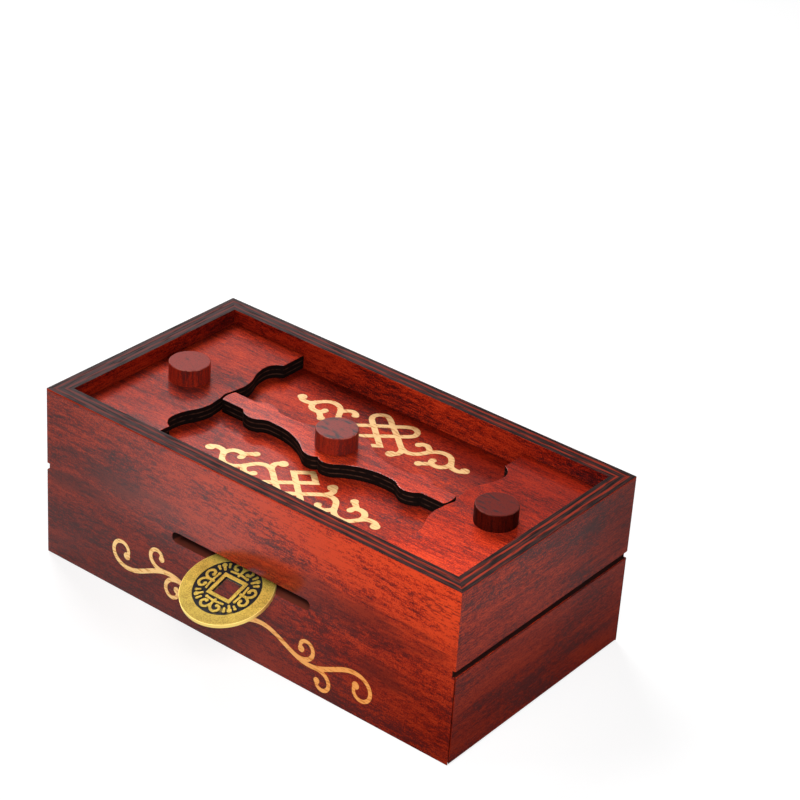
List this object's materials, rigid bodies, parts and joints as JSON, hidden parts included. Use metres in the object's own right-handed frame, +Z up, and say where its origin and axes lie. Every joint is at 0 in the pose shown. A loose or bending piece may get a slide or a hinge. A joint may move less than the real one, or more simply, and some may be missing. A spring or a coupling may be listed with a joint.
{
  "type": "wooden puzzle box",
  "caption": "Oblong mitred wooden box with a sunk ornamented deck, lift-off knobbed end lids, a turning bar that locks a hidden end drawer, and a coin slot.",
  "frame": {"origin": "middle of the underside of the case", "axes": "+X along the length towards the drawer, +Y towards the back, +Z up; the coin slot faces -Y"},
  "size_m": [0.16, 0.1053, 0.0603],
  "materials": {
    "case_wood": "mahogany-red stain under semi-gloss varnish",
    "deck_wood": "mahogany-red stain under semi-gloss varnish",
    "panel_wood": "mahogany-red stain, burnt dark cut edges",
    "knob_wood": "dark red-brown stain under varnish",
    "raw_wood": "bare plywood and dowel",
    "brass": "worn brass with dark patina in the recesses"
  },
  "bodies": {
    "box": {"front_wall": "case_wood", "back_wall": "case_wood", "left_wall": "case_wood", "right_upper_wall": "case_wood", "bottom_board": "raw_wood", "deck_board": "deck_wood", "ceiling_board": "raw_wood", "left_well_frame": "raw_wood", "right_well_frame": "raw_wood", "front_left_kicker": "raw_wood", "front_right_kicker": "raw_wood", "back_kicker": "raw_wood", "drawer_stops": "raw_wood"},
    "turn_bar": {"centre_bar": "panel_wood", "centre_knob": "knob_wood", "pivot_dowel": "raw_wood", "gate_disc": "raw_wood"},
    "left_lid": {"left_panel": "panel_wood", "left_cleat": "raw_wood", "left_knob": "knob_wood", "left_knob_dowel": "raw_wood"},
    "right_lid": {"right_panel": "panel_wood", "right_cleat": "raw_wood", "right_knob": "knob_wood", "right_knob_dowel": "raw_wood"},
    "drawer": {"drawer_front": "case_wood", "drawer_front_side": "raw_wood", "drawer_back_side": "raw_wood", "drawer_rear": "raw_wood", "drawer_floor": "raw_wood", "drawer_divider": "raw_wood"},
    "coin": {"coin": "brass"}
  },
  "joints": [
    {"name": "bar_turn", "type": "hinge", "parent": "box", "child": "turn_bar", "pos_m": [0, 0, 0.0516], "axis": [0, 0, 1], "range_deg": [-46, 46]},
    {"name": "left_lid_lift", "type": "slide", "parent": "box", "child": "left_lid", "axis": [0, 0, 1], "range_m": [0, 0.03]},
    {"name": "right_lid_lift", "type": "slide", "parent": "box", "child": "right_lid", "axis": [0, 0, 1], "range_m": [0, 0.03]},
    {"name": "drawer_slide", "type": "slide", "parent": "box", "child": "drawer", "axis": [1, 0, 0], "range_m": [0, 0.105]},
    {"name": "coin_slide", "type": "slide", "parent": "box", "child": "coin", "axis": [0, -0.9511, -0.309], "range_m": [-0.005, 0.026]}
  ]
}
